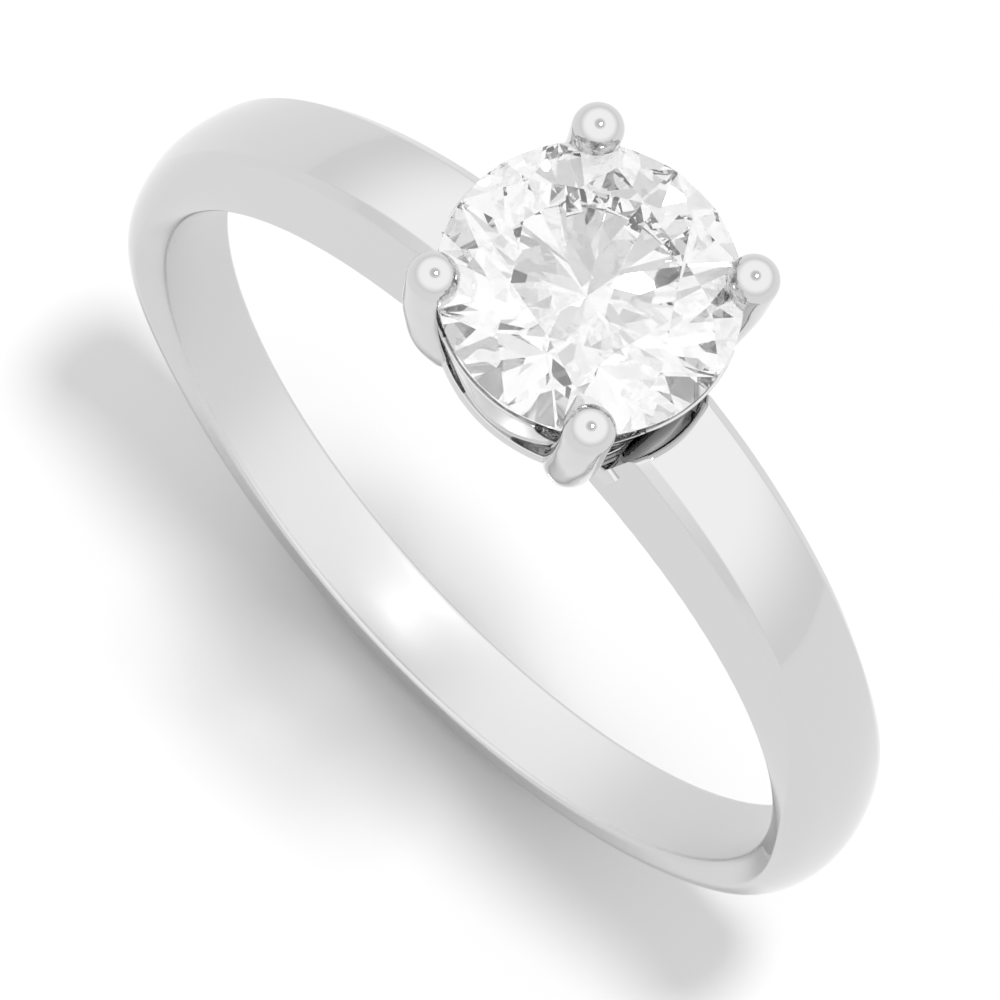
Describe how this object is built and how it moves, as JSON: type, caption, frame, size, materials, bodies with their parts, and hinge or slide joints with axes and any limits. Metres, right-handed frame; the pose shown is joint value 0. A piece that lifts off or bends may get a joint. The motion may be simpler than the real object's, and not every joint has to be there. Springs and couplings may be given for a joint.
{
  "type": "engagement ring",
  "caption": "Polished white-metal solitaire ring: a tapering hoop with a wire basket head whose domed prongs hold a round brilliant stone.",
  "frame": {"origin": "centre of the finger hole, halfway along its wall", "axes": "+Y along the finger hole, +Z from the palm side of the hoop to the stone, +X across the hoop"},
  "size_m": [0.0198, 0.0062, 0.0235],
  "materials": {
    "white_gold": "mirror-polished, rhodium-plated white gold",
    "solder": "polished over, slightly uneven white solder",
    "stone": "polished facets, colourless, high refractive index"
  },
  "bodies": {
    "root": {"shank": "white_gold", "prong_front_left": "white_gold", "prong_front_right": "white_gold", "prong_back_left": "white_gold", "prong_back_right": "white_gold", "scalloped_rail": "white_gold", "gallery_bar_front": "white_gold", "gallery_bar_back": "white_gold", "gallery_bar_left": "white_gold", "gallery_bar_right": "white_gold", "solder_left": "solder", "solder_right": "solder", "centre_stone": "stone"}
  },
  "joints": []
}
